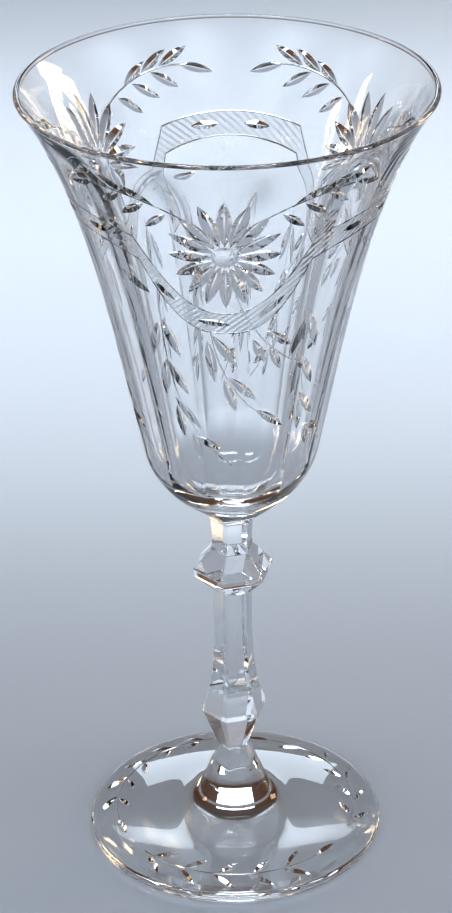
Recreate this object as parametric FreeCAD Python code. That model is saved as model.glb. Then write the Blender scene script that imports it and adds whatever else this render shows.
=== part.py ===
"""Cut-crystal wine glass: bowl, stem collar, knop, stem shaft and foot.

Each piece is its own closed solid. In the real glass they are separate gathers, joined while hot,
so here each one ends in a flat face that lies against the next one's face, with nothing between.
Origin: centre of the foot, on the surface that the glass stands on. +Z runs up the stem.
The flat facets of the stem face the directions that FACET_TURN gives. Millimetres and degrees.
"""

import FreeCAD, Part
import math
import os

# Overall sizes
TOTAL_HEIGHT = 178.0
RIM_DIAMETER = 85.6
FOOT_DIAMETER = 66.0

# Heights of the pieces under the bowl, from the table up
FOOT_HEIGHT = 20.5
SHAFT_LENGTH = 41.0
KNOP_HEIGHT = 10.1
COLLAR_HEIGHT = 7.2

# Bowl
SHOULDER_RADIUS = 18.7      # outside radius where the round bottom turns into the flared side
SHOULDER_RISE = 18.2        # from the bowl's base up to that shoulder
SHOULDER_ANGLE = 12.0       # lean of the wall from upright at the shoulder
RIM_ANGLE = 34.4            # lean of the wall from upright at the rim
RIM_WALL = 1.3
SHOULDER_WALL = 2.7
FLOOR_THICKNESS = 8.6

# Six-sided stem: radii are measured to the corners between the facets
FACETS = 6
FACET_TURN = 15.0           # first corner, turned from +X towards +Y
COLLAR_TOP_RADIUS = 4.9
COLLAR_WAIST_RADIUS = 4.55
KNOP_RADIUS = 9.0
KNOP_BELT = 1.2             # upright band round the knop's widest part
KNOP_STEP = 0.4             # how far the knop's ends stand out past its neighbours
SHAFT_TOP_RADIUS = 4.3
SHAFT_BULB_RADIUS = 7.3
SHAFT_BULB_RISE = 10.4      # from the foot's top up to the band round the bulb
SHAFT_BULB_BAND = 1.2
SHAFT_FOOT_RADIUS = 3.5
SHAFT_SWELL_ANGLE = 24.0    # lean of the corners from upright just above the bulb
SHAFT_SECTIONS = 7

# Foot
FOOT_EDGE_THICKNESS = 2.3
FOOT_RING_WIDTH = 5.0       # flat ring that touches the table
FOOT_HOLLOW = 0.7           # rise of the underside at its centre
FOOT_RIM_ANGLE = 107.0      # slope of the upper face at its edge, from upright
FOOT_NECK_ANGLE = 158.0     # slope of the upper face just under the stem, from upright

# A round end stands this far outside the six-sided end that is joined to it
JOIN_MARGIN = 0.1

RIM_RADIUS = RIM_DIAMETER / 2
FOOT_RADIUS = FOOT_DIAMETER / 2
SHAFT_BASE = FOOT_HEIGHT
KNOP_BASE = SHAFT_BASE + SHAFT_LENGTH
COLLAR_BASE = KNOP_BASE + KNOP_HEIGHT
BOWL_BASE = COLLAR_BASE + COLLAR_HEIGHT


def point(radius, height):
    """A point of an outline in the XZ plane."""
    return FreeCAD.Vector(radius, 0, height)


def step_along(start, angle, reach):
    """The point at a distance from start, in a direction given from upright towards +X."""
    turn = math.radians(angle)
    return start + FreeCAD.Vector(math.sin(turn), 0, math.cos(turn)) * reach


def sweep_poles(start, start_angle, start_reach, end, end_angle, end_reach):
    """Poles of the cubic curve that leaves start and reaches end in the given directions."""
    return [start, step_along(start, start_angle, start_reach),
            step_along(end, end_angle, -end_reach), end]


def curve_of(poles):
    curve = Part.BezierCurve()
    curve.setPoles(poles)
    return curve


def curve_edge(poles):
    return curve_of(poles).toShape()


def line_edge(start, end):
    return Part.LineSegment(start, end).toShape()


def arc_edge(start, middle, end):
    return Part.Arc(start, middle, end).toShape()


def turned(edges):
    """The solid made by turning a closed outline once round the Z axis."""
    outline = Part.Wire(edges)
    return Part.Face(outline).revolve(FreeCAD.Vector(0, 0, 0), FreeCAD.Vector(0, 0, 1), 360)


def facet_ring(radius, height):
    """A closed polygon with a corner between each two facets of the stem."""
    corners = []
    for index in range(FACETS):
        angle = math.radians(FACET_TURN + index * 360 / FACETS)
        corners.append(FreeCAD.Vector(radius * math.cos(angle), radius * math.sin(angle), height))
    return Part.makePolygon(corners + corners[:1])


def faceted(stations, straight):
    """A six-sided solid through (radius, height) stations, with straight or smooth facets."""
    rings = [facet_ring(radius, height) for radius, height in stations]
    return Part.makeLoft(rings, True, straight)


def make_bowl():
    """Flared cup: a round bottom, a side that leans out more and more, and a rounded lip."""
    base_radius = COLLAR_TOP_RADIUS + JOIN_MARGIN
    shoulder_height = BOWL_BASE + SHOULDER_RISE
    lip_height = TOTAL_HEIGHT - RIM_WALL / 2
    side_reach = 0.3 * (lip_height - shoulder_height)
    bottom_lift = 0.14 * SHOULDER_RISE
    bottom_reach = 0.6 * SHOULDER_RISE

    centre = point(0, BOWL_BASE)
    base_edge = point(base_radius, BOWL_BASE)
    shoulder = point(SHOULDER_RADIUS, shoulder_height)
    lip_outside = point(RIM_RADIUS, lip_height)
    lip_top = point(RIM_RADIUS - RIM_WALL / 2, TOTAL_HEIGHT)
    lip_inside = point(RIM_RADIUS - RIM_WALL, lip_height)
    inner_shoulder = point(SHOULDER_RADIUS - SHOULDER_WALL, shoulder_height)
    floor = point(0, BOWL_BASE + FLOOR_THICKNESS)
    inner_depth = SHOULDER_RISE - FLOOR_THICKNESS

    bottom = sweep_poles(base_edge, 0, bottom_lift, shoulder, SHOULDER_ANGLE, bottom_reach)
    side = sweep_poles(shoulder, SHOULDER_ANGLE, side_reach, lip_outside, RIM_ANGLE, side_reach)
    inner_side = sweep_poles(inner_shoulder, SHOULDER_ANGLE, side_reach,
                             lip_inside, RIM_ANGLE, side_reach)
    inner_bottom = sweep_poles(floor, 90, 0.6 * inner_shoulder.x,
                               inner_shoulder, SHOULDER_ANGLE, 0.6 * inner_depth)
    return turned([
        line_edge(centre, base_edge),
        curve_edge(bottom),
        curve_edge(side),
        arc_edge(lip_outside, lip_top, lip_inside),
        curve_edge(inner_side),
        curve_edge(inner_bottom),
        line_edge(floor, centre),
    ])


def make_stem_collar():
    """Short six-sided neck, slightly waisted, between the knop and the bowl."""
    waist_height = COLLAR_BASE + COLLAR_HEIGHT / 2
    return faceted([
        (COLLAR_WAIST_RADIUS, COLLAR_BASE),
        (COLLAR_WAIST_RADIUS, waist_height),
        (COLLAR_TOP_RADIUS, BOWL_BASE),
    ], False)


def make_knop():
    """Double cone with six sides and a narrow upright belt."""
    belt_base = KNOP_BASE + (KNOP_HEIGHT - KNOP_BELT) / 2
    return faceted([
        (SHAFT_TOP_RADIUS + KNOP_STEP, KNOP_BASE),
        (KNOP_RADIUS, belt_base),
        (KNOP_RADIUS, belt_base + KNOP_BELT),
        (COLLAR_WAIST_RADIUS + KNOP_STEP, COLLAR_BASE),
    ], True)


def make_stem_shaft():
    """Six-sided baluster: a thin neck at the foot, a bulb low down, then a long taper."""
    band_base = SHAFT_BASE + SHAFT_BULB_RISE - SHAFT_BULB_BAND / 2
    band_top = band_base + SHAFT_BULB_BAND
    taper = KNOP_BASE - band_top
    lower = faceted([
        (SHAFT_FOOT_RADIUS, SHAFT_BASE),
        (SHAFT_BULB_RADIUS, band_base),
        (SHAFT_BULB_RADIUS, band_top),
    ], True)
    corner_line = curve_of(sweep_poles(
        point(SHAFT_BULB_RADIUS, band_top), -SHAFT_SWELL_ANGLE, taper / 4,
        point(SHAFT_TOP_RADIUS, KNOP_BASE), 0, taper / 2))
    stations = []
    for index in range(SHAFT_SECTIONS):
        place = corner_line.value(index / (SHAFT_SECTIONS - 1))
        stations.append((place.x, place.z))
    return lower.fuse(faceted(stations, False)).removeSplitter().Solids[0]


def make_foot():
    """Round plate with a rounded edge that sweeps up in a trumpet to the thin neck."""
    edge_radius = FOOT_EDGE_THICKNESS / 2
    neck = point(SHAFT_FOOT_RADIUS + JOIN_MARGIN, FOOT_HEIGHT)
    plate_radius = FOOT_RADIUS - edge_radius
    ring_radius = FOOT_RADIUS - FOOT_RING_WIDTH
    plate_edge = point(plate_radius, FOOT_EDGE_THICKNESS)
    plate_span = plate_radius - neck.x
    hollow_rise = 0.75 * FOOT_HOLLOW
    top = sweep_poles(plate_edge, FOOT_RIM_ANGLE - 180, 0.98 * plate_span,
                      neck, FOOT_NECK_ANGLE - 180, 0.77 * plate_span)
    return turned([
        line_edge(point(ring_radius, 0), point(plate_radius, 0)),
        arc_edge(point(plate_radius, 0), point(FOOT_RADIUS, edge_radius), plate_edge),
        curve_edge(top),
        line_edge(neck, point(0, FOOT_HEIGHT)),
        line_edge(point(0, FOOT_HEIGHT), point(0, FOOT_HOLLOW)),
        arc_edge(point(0, FOOT_HOLLOW), point(ring_radius / 2, hollow_rise), point(ring_radius, 0)),
    ])


PIECES = {
    "bowl": make_bowl,
    "stem_collar": make_stem_collar,
    "knop": make_knop,
    "stem_shaft": make_stem_shaft,
    "foot": make_foot,
}

os.makedirs("parts", exist_ok=True)
for name, make in PIECES.items():
    shape = make()
    shape.exportStep(f"parts/{name}.step")
    box = shape.BoundBox
    print(f"{name}: valid {shape.isValid()}, solids {len(shape.Solids)}, "
          f"volume {shape.Volume:.0f} mm3, z {box.ZMin:.2f} to {box.ZMax:.2f}, width {box.XLength:.2f}")
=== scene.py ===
"""Cut-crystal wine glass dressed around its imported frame, laid out as an add-on and run as a script.

Every piece is a closed surface of glass. A place on a piece is given by two numbers: a heading, which is
the turn round the axis from -Y towards +X, and a place along the piece's outline from its bottom to its
top. The cut decoration is drawn flat and wrapped on by a map that keeps angles, so a leaf stays a leaf
while the bowl narrows under it. The pieces meet in flat faces that let light straight through, because
the real gathers are joined hot and leave no air between them.
"""

import math

import bpy
import numpy as np
from mathutils import Matrix, Vector, geometry


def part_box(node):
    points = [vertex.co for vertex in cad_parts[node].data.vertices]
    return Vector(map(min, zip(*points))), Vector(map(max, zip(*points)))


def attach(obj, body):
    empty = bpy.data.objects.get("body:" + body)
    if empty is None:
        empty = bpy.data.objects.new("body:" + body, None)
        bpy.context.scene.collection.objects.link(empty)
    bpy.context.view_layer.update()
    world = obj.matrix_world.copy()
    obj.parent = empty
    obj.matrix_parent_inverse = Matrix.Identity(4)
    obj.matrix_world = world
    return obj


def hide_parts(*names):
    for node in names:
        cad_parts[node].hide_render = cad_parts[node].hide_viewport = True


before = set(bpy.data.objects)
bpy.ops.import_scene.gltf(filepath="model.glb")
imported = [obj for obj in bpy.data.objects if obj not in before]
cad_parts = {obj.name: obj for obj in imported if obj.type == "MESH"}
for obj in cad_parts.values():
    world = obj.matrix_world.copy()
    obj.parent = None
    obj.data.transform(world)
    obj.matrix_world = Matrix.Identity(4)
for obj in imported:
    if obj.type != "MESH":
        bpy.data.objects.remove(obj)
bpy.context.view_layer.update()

bl_info = {
    "name": "Cut-crystal wine glass",
    "version": (1, 0, 0),
    "blender": (4, 5, 0),
    "location": "3D View > Sidebar > Wine glass",
    "description": "Builds a cut-crystal wine glass on its frame, with a plain studio round it",
    "category": "Add Mesh",
}

MM = 0.001
DEG = math.pi / 180
FULL_TURN = 2 * math.pi
FACETS = 6
SECTOR = FULL_TURN / FACETS
PANELS = 3
PANEL_TURN = FULL_TURN / PANELS

BOWL_LOW, BOWL_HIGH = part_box("bowl")
COLLAR_LOW, COLLAR_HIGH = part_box("stem_collar")
KNOP_LOW, KNOP_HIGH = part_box("knop")
SHAFT_LOW, SHAFT_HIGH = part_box("stem_shaft")
FOOT_LOW, FOOT_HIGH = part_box("foot")


# ---------------------------------------------------------------- sizes and colours that a user sets

def length_property(name, description, millimetres):
    return bpy.props.FloatProperty(name=name, description=description, default=millimetres * MM,
                                   min=0.0, precision=5, unit="LENGTH")


def angle_property(name, description, degrees):
    return bpy.props.FloatProperty(name=name, description=description, default=degrees * DEG,
                                   unit="ROTATION")


def share_property(name, description, default):
    return bpy.props.FloatProperty(name=name, description=description, default=default,
                                   min=0.0, max=1.0, subtype="FACTOR")


def count_property(name, description, default):
    return bpy.props.IntProperty(name=name, description=description, default=default, min=1)


def colour_property(name, description, default):
    return bpy.props.FloatVectorProperty(name=name, description=description, default=default,
                                         size=3, min=0.0, max=1.0, subtype="COLOR")


class WineGlassBowl(bpy.types.PropertyGroup):
    """Sizes of the bowl's wall, and of the soft panels inside it"""
    shoulder_radius: length_property(
        "Shoulder radius", "Outside radius where the round bottom turns into the side", 18.7)
    shoulder_rise: length_property(
        "Shoulder rise", "Height of the shoulder above the bowl's base", 18.2)
    shoulder_angle: angle_property(
        "Shoulder angle", "Lean of the wall from upright at the shoulder", 12.0)
    rim_angle: angle_property("Rim angle", "Lean of the wall from upright at the rim", 34.4)
    rim_wall: length_property("Rim wall", "Thickness of the glass at the rim", 1.3)
    shoulder_wall: length_property("Shoulder wall", "Thickness of the glass at the shoulder", 2.7)
    floor_thickness: length_property("Floor", "Glass under the middle of the bowl", 8.6)
    facet_rise: length_property(
        "Facet rise", "How far the stem's facets run up under the bowl", 9.0)
    optic_panels: count_property("Optic panels", "Soft upright panels inside the wall", 12)
    optic_turn: angle_property("Optic turn", "Heading of a ridge between two panels", 10.0)
    optic_share: share_property(
        "Optic ridges", "Height of the ridges between the panels as a share of the radius", 0.03)


class WineGlassCutting(bpy.types.PropertyGroup):
    """Sizes of the cut decoration, measured at the height of the flowers"""
    flower_height: length_property("Flower height", "Height of the flowers' centres", 154.7)
    flower_turn: angle_property("Flower turn", "Heading of the first flower", -1.4)
    petals: count_property("Petals", "Petals of each flower", 16)
    petal_width: length_property("Petal width", "Width of a petal at its middle", 2.8)
    flower_width: length_property("Flower half width", "Reach of the petals sideways", 11.4)
    flower_reach: length_property("Flower half height", "Reach of the petals up and down", 14.0)
    centre_radius: length_property("Centre radius", "Radius of the flower's round centre", 2.7)
    leaf_width: length_property("Leaf width", "Width of a large leaf at its middle", 2.8)
    stem_width: length_property("Stem width", "Width of the engraved stems", 0.32)
    groove_angle: angle_property("Groove angle", "Slope of the sides of a cut", 38.0)
    frost_roughness: share_property("Ribbon roughness", "Matt finish of the ribbon", 0.11)


class WineGlassStem(bpy.types.PropertyGroup):
    """Sizes of the six-sided stem, measured to the corners between its facets"""
    facet_turn: angle_property("Facet turn", "Heading of a facet's middle", 15.0)
    edge_share: share_property(
        "Edge rounding", "Radius of the polished edges as a share of the stem's thickness", 0.05)
    collar_top_radius: length_property("Collar top", "Collar's radius under the bowl", 4.9)
    collar_waist_radius: length_property("Collar waist", "Collar's radius above the knop", 4.55)
    knop_radius: length_property("Knop", "Knop's radius at its belt", 9.0)
    knop_belt: length_property("Knop belt", "Height of the upright band round the knop", 1.2)
    knop_step: length_property("Knop step", "How far the knop's ends stand out", 0.4)
    shaft_top_radius: length_property("Shaft top", "Shaft's radius under the knop", 4.3)
    bulb_radius: length_property("Bulb", "Shaft's radius at its lower bulb", 7.3)
    bulb_rise: length_property("Bulb rise", "Height of the bulb above the foot", 10.4)
    bulb_band: length_property("Bulb band", "Height of the band round the bulb", 1.2)
    shaft_foot_radius: length_property("Shaft foot", "Shaft's radius where it meets the foot", 3.5)
    swell_angle: angle_property("Swell", "Lean of the shaft's corners above the bulb", 24.0)


class WineGlassFoot(bpy.types.PropertyGroup):
    """Sizes of the foot and of the leaves cut on it"""
    edge_thickness: length_property("Edge", "Thickness of the foot at its edge", 2.3)
    ring_width: length_property("Ring", "Width of the flat ring that touches the table", 5.0)
    hollow: length_property("Hollow", "Rise of the underside at its centre", 0.7)
    rim_angle: angle_property("Edge slope", "Slope of the top at its edge, from upright", 107.0)
    neck_angle: angle_property("Neck slope", "Slope of the top under the stem, from upright", 158.0)
    rim_pull: bpy.props.FloatProperty(
        name="Edge pull", description="How far the edge's slope carries inwards, in spans", default=0.98)
    neck_pull: bpy.props.FloatProperty(
        name="Neck pull", description="How far the neck's slope carries down, in spans", default=0.77)
    leaf_pairs: count_property("Leaf pairs", "Pairs of leaves in each of the three sprays", 5)
    leaf_length: length_property("Leaf length", "Length of a leaf on the foot", 5.6)
    leaf_width: length_property("Leaf width", "Width of a leaf on the foot", 1.7)
    wreath_radius: length_property("Wreath radius", "Radius of the line the leaves grow from", 27.0)


class WineGlassFinish(bpy.types.PropertyGroup):
    """Finish of the crystal"""
    tint: colour_property("Tint", "Colour of the glass", (0.985, 0.99, 0.995))
    bend: bpy.props.FloatProperty(
        name="Refraction", description="Refractive index of the crystal", default=1.545, min=1.0, max=2.0)


class WineGlassStage(bpy.types.PropertyGroup):
    """The plain studio and the camera in it"""
    floor_colour: colour_property("Floor", "Colour of the pale floor", (0.70, 0.76, 0.83))
    surround_colour: colour_property("Surround", "Dim warm colour of the room near the horizon",
                                     (0.14, 0.062, 0.020))
    fill_colour: colour_property("Fill", "Soft pale light from the side the viewer stands on",
                                 (0.58, 0.64, 0.72))
    key_power: bpy.props.FloatProperty(
        name="Key light", description="Power of the large soft light", default=2.4, unit="POWER")
    camera_distance: length_property("Camera distance", "Distance from the glass along -Y", 537.5)
    camera_height: length_property("Camera height", "Height of the camera", 382.64)
    camera_tilt: angle_property("Camera tilt", "How far the camera looks down", 28.26)
    camera_turn: angle_property("Camera turn", "How far the camera looks to the side", -0.12)
    camera_roll: angle_property("Camera roll", "Lean of the picture", -0.724)
    lens: bpy.props.FloatProperty(name="Lens", description="Focal length in millimetres", default=112.6)


# ---------------------------------------------------------------- outlines

def along(angle):
    """Unit step (radius, height) in a direction given from upright outwards."""
    return np.array([math.sin(angle), math.cos(angle)])


class Curve:
    """Cubic curve of (radius, height) that leaves one point and reaches the next in given directions."""

    def __init__(self, start, start_angle, start_reach, end, end_angle, end_reach):
        start, end = np.asarray(start, float), np.asarray(end, float)
        self.poles = np.array([start, start + along(start_angle) * start_reach,
                               end - along(end_angle) * end_reach, end])

    def at(self, t):
        """Bernstein form: each pole weighted by its share at t."""
        t = np.asarray(t, float)[..., None]
        weights = ((1 - t) ** 3, 3 * t * (1 - t) ** 2, 3 * t ** 2 * (1 - t), t ** 3)
        return sum(weight * pole for weight, pole in zip(weights, self.poles))


class Eased:
    """Broken line of (radius, height) whose inner corners are rounded by short parabolas."""

    def __init__(self, corners, ease, samples=4):
        corners = np.asarray(corners, float)
        rows = [corners[:1]]
        for before, corner, after in zip(corners, corners[1:], corners[2:]):
            start = corner + (before - corner) * min(0.5, ease / np.linalg.norm(before - corner))
            end = corner + (after - corner) * min(0.5, ease / np.linalg.norm(after - corner))
            t = np.linspace(0, 1, samples)[:, None]
            rows.append((1 - t) ** 2 * start + 2 * t * (1 - t) * corner + t ** 2 * end)
        rows.append(corners[-1:])
        self.points = np.vstack(rows)
        self.places = np.linspace(0, 1, len(self.points))

    def at(self, t):
        """Straight between neighbouring points, so a corner's normal is that of its own strip."""
        return np.stack([np.interp(t, self.places, column) for column in self.points.T], -1)


class Wrap:
    """An outline measured so that drawings keep their angles on it.

    Its second coordinate is the sum of (step along the outline / radius), so equal steps in heading
    and in that coordinate cover equal lengths on the surface.
    """

    SAMPLES = 4001

    def __init__(self, curve):
        self.points = curve.at(np.linspace(0, 1, self.SAMPLES))
        steps = np.diff(self.points, axis=0)
        lengths = np.hypot(steps[:, 0], steps[:, 1])
        middles = (self.points[1:, 0] + self.points[:-1, 0]) / 2
        self.places = np.concatenate([[0.0], np.cumsum(lengths / middles)])
        slopes = np.gradient(self.points, axis=0)
        slopes /= np.linalg.norm(slopes, axis=1)[:, None]
        self.normals = np.stack([slopes[:, 1], -slopes[:, 0]], -1)
        self.end = self.places[-1]

    def at(self, place):
        """Radius, height, and the outward normal's share along each, at places on the outline."""
        values = np.hstack([self.points, self.normals])
        return [np.interp(place, self.places, column) for column in values.T]

    def place_of_height(self, height):
        return float(np.interp(height, self.points[:, 1], self.places))


def turned(heading, radius, height):
    """Point at a heading, radius and height, as (..., 3)."""
    return np.stack([radius * np.sin(heading), -radius * np.cos(heading),
                     height + 0 * heading], -1)


def six_sided(heading, corner_radius, stem):
    """Radius of a hexagon with rounded corners at each heading.

    On a facet it is apothem / cos(angle from the facet's middle). Near a corner it is the far side of
    the circle that touches both facets: c cos(a) + sqrt(r^2 - c^2 sin^2(a)) for an angle a from it.
    """
    apothem = corner_radius * math.cos(SECTOR / 2)
    turn = (heading - stem.facet_turn + SECTOR / 2) % SECTOR - SECTOR / 2
    rounding = stem.edge_share * apothem
    centre = (apothem - rounding) / math.cos(SECTOR / 2)
    reach = corner_share(stem)
    from_corner = SECTOR / 2 - np.abs(turn)
    inside = np.clip(rounding ** 2 - (centre * np.sin(from_corner)) ** 2, 0, None)
    arc = centre * np.cos(from_corner) + np.sqrt(inside)
    return np.where(from_corner < reach, arc, apothem / np.cos(turn))


def corner_share(stem):
    """Half the angle that a rounded corner takes up, seen from the axis."""
    rounding = stem.edge_share
    centre = (1 - rounding) / math.cos(SECTOR / 2)
    return math.atan2(rounding * math.sin(SECTOR / 2), centre + rounding * math.cos(SECTOR / 2))


def facet_headings(stem, flat_steps=6, corner_steps=4):
    """Headings for six facets, close together round each corner."""
    half = SECTOR / 2
    reach = corner_share(stem)
    flat = np.linspace(reach - half, half - reach, flat_steps, endpoint=False)
    corner = np.linspace(half - reach, half + reach, corner_steps, endpoint=False)
    one = np.concatenate([flat, corner])
    starts = stem.facet_turn + SECTOR * np.arange(FACETS)
    return (starts[:, None] + one[None, :]).ravel()


# ---------------------------------------------------------------- meshes

POLISHED, RIBBON, ENGRAVED, FUSED = range(4)     # material slots that every piece shares
INTO_FACE = 0.04    # how far into its own face a corner's normal is read, as a share of the way


class Shell:
    """Collects strips and caps of one closed piece and makes them one mesh."""

    def __init__(self):
        self.points, self.faces, self.normals, self.drawing, self.slots = [], [], [], [], []
        self.count = 0
        self.same = []

    def add(self, points, faces, normals, slots, drawing=None):
        """Adds a patch. normals and drawing hold one row for each corner of each face."""
        start = self.count
        self.points.append(points)
        self.count += len(points)
        self.faces.append(faces + start)
        self.normals.append(normals)
        self.slots.append(np.broadcast_to(slots, len(faces)))
        self.drawing.append(np.zeros(faces.shape + (2,)) if drawing is None else drawing)
        return start

    def strip(self, surface, headings, places, slot=POLISHED):
        """Grid of quads over surface(heading, place), closed round the axis.

        A corner's normal is the cross product of the surface's two small steps, taken a little way
        into the corner's own face, so that facets stay crisp. Returns the first and last rings.
        """
        columns, rows = len(headings), len(places)
        heading_grid, place_grid = np.meshgrid(headings, places)
        points = surface(heading_grid, place_grid).reshape(-1, 3)
        column = np.arange(columns)
        following = (column + 1) % columns
        row = np.arange(rows - 1)[:, None] * columns
        faces = np.stack([row + column, row + following,
                          row + columns + following, row + columns + column], -1).reshape(-1, 4)
        next_heading = np.append(headings[1:], headings[0] + FULL_TURN)
        left = np.broadcast_to(headings, (rows - 1, columns))
        right = np.broadcast_to(next_heading, (rows - 1, columns))
        low = np.broadcast_to(places[:-1, None], (rows - 1, columns))
        high = np.broadcast_to(places[1:, None], (rows - 1, columns))
        corner_heading = np.stack([left, right, right, left], -1).reshape(-1, 4)
        corner_place = np.stack([low, low, high, high], -1).reshape(-1, 4)
        normals = stepped_normals(surface, corner_heading, corner_place)
        start = self.add(points, faces, normals, slot)
        return start + column, start + (rows - 1) * columns + column

    def cap(self, ring, centre, normal, slot):
        """Flat fan from a ring to a point on the axis. The ring keeps its own points."""
        ring_points = np.vstack(self.points)[ring]
        middle = len(ring_points)
        index = np.arange(middle)
        following = (index + 1) % middle
        faces = np.stack([index, following, np.full(middle, middle)], -1)
        if normal[2] < 0:
            faces = faces[:, ::-1]
        points = np.vstack([ring_points, [centre]])
        start = self.add(points, faces, np.broadcast_to(normal, faces.shape + (3,)), slot)
        self.weld(ring, start + index)

    def weld(self, keep, drop):
        """Makes two rings one: each point of drop becomes the point of keep in the same order."""
        self.same.append((np.asarray(keep), np.asarray(drop)))

    def mesh(self, name, materials):
        """One mesh object, with its corner normals and its drawing coordinates as a UV map."""
        target = np.arange(self.count)
        for keep, drop in self.same:
            target[drop] = target[keep]
        used, numbers = np.unique(target, return_inverse=True)
        points = np.vstack(self.points)[used]
        corners = np.concatenate([numbers[faces].ravel() for faces in self.faces])
        sizes = np.concatenate([np.full(len(faces), faces.shape[1]) for faces in self.faces])
        mesh = bpy.data.meshes.new(name)
        mesh.vertices.add(len(points))
        mesh.vertices.foreach_set("co", points.astype(np.float32).ravel())
        mesh.loops.add(len(corners))
        mesh.loops.foreach_set("vertex_index", corners.astype(np.int32))
        mesh.polygons.add(len(sizes))
        mesh.polygons.foreach_set("loop_start", (np.cumsum(sizes) - sizes).astype(np.int32))
        mesh.polygons.foreach_set("material_index", np.concatenate(self.slots).astype(np.int32))
        mesh.polygons.foreach_set("use_smooth", np.ones(len(sizes), bool))
        mesh.update(calc_edges=True)
        drawing = mesh.uv_layers.new(name="drawing")
        flat = np.concatenate([values.reshape(-1, 2) for values in self.drawing])
        drawing.data.foreach_set("uv", flat.astype(np.float32).ravel())
        normals = np.concatenate([values.reshape(-1, 3) for values in self.normals])
        mesh.normals_split_custom_set(normals.astype(np.float32))
        for material in materials:
            mesh.materials.append(material)
        piece = bpy.data.objects.new(name, mesh)
        bpy.context.scene.collection.objects.link(piece)
        return piece


def stepped_normals(surface, heading, place, into=INTO_FACE, step=1e-5):
    """Unit cross products of small steps of a surface, read a little inside each face."""
    heading = heading + (heading.mean(-1, keepdims=True) - heading) * into
    place = place + (place.mean(-1, keepdims=True) - place) * into
    across = surface(heading + step, place) - surface(heading - step, place)
    up = surface(heading, place + step) - surface(heading, place - step)
    normals = np.cross(across, up)
    return normals / np.maximum(np.linalg.norm(normals, axis=-1, keepdims=True), 1e-30)


# ---------------------------------------------------------------- cuts, drawn flat

class Leaf:
    """Lens-shaped cut of a V-edged wheel, with half width h = b (1 - t^2) along its length.

    Its sides fall evenly, slope times the way in from the edge, to a narrow flat valley of VALLEY * h.
    """

    STEPS = 9
    VALLEY = 0.13

    def __init__(self, root, tip, width, slope):
        root, tip = np.asarray(root, float), np.asarray(tip, float)
        self.middle = (root + tip) / 2
        self.half_length = np.linalg.norm(tip - root) / 2
        self.run = (tip - root) / (2 * self.half_length)
        self.side = np.array([-self.run[1], self.run[0]])
        self.half_width = width / 2
        self.slope = slope
        self.frosted = False

    def inside(self, points):
        """Distance in from the nearer side, below zero outside."""
        t = (points - self.middle) @ self.run / self.half_length
        off = np.abs((points - self.middle) @ self.side)
        return self.half_width * (1 - t ** 2) - off

    def depth(self, points):
        t = (points - self.middle) @ self.run / self.half_length
        off = np.abs((points - self.middle) @ self.side)
        width = self.half_width * (1 - t ** 2)
        return self.slope * (width - np.maximum(off, self.VALLEY * width))

    def lines(self):
        """Both sides and both edges of the valley, as polylines that share their ends."""
        t = np.linspace(-1, 1, self.STEPS)[:, None]
        spine = self.middle + t * self.half_length * self.run
        bulge = self.half_width * (1 - t ** 2) * self.side
        return [spine + share * bulge for share in (1.0, self.VALLEY, -self.VALLEY, -1.0)]


class Groove:
    """Thin engraved line along a polyline, with a V section."""

    def __init__(self, spine, width, slope):
        self.spine = np.asarray(spine, float)
        self.half_width = width / 2
        self.slope = slope
        self.frosted = True

    def inside(self, points):
        """Half width less the distance to the nearest stretch of the line."""
        nearest = np.full(points.shape[:-1], np.inf)
        for start, end in zip(self.spine[:-1], self.spine[1:]):
            run = end - start
            t = np.clip((points - start) @ run / (run @ run), 0, 1)
            away = points - start - t[..., None] * run
            nearest = np.minimum(nearest, np.hypot(away[..., 0], away[..., 1]))
        return self.half_width - nearest

    def depth(self, points):
        return self.slope * self.inside(points)

    def lines(self):
        run = np.gradient(self.spine, axis=0)
        run /= np.linalg.norm(run, axis=1)[:, None]
        side = np.stack([-run[:, 1], run[:, 0]], -1) * self.half_width
        return [self.spine + side, self.spine - side, self.spine]


class Dish:
    """Shallow round hollow, as a ball would press."""

    STEPS = 28

    def __init__(self, centre, radius, depth):
        self.centre = np.asarray(centre, float)
        self.radius = radius
        self.full_depth = depth
        self.frosted = False

    def inside(self, points):
        away = points - self.centre
        return self.radius - np.hypot(away[..., 0], away[..., 1])

    def depth(self, points):
        away = points - self.centre
        share = (away ** 2).sum(-1) / self.radius ** 2
        return self.full_depth * (1 - share)

    def lines(self):
        turn = np.linspace(0, FULL_TURN, self.STEPS + 1)[:, None]
        ring = np.hstack([np.cos(turn), np.sin(turn)])
        return [self.centre + ring * self.radius * share for share in (1.0, 0.66, 0.33)]


def bent(points, steps=14):
    """Smooth line whose control points are the given ones, in Bernstein form."""
    points = np.asarray(points, float)
    order = len(points) - 1
    t = np.linspace(0, 1, steps)[:, None]
    return sum(math.comb(order, k) * t ** k * (1 - t) ** (order - k) * points[k]
               for k in range(order + 1))


def moved(points, shift):
    return np.asarray(points, float) + np.asarray(shift, float)


# ---------------------------------------------------------------- cut bands

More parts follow.
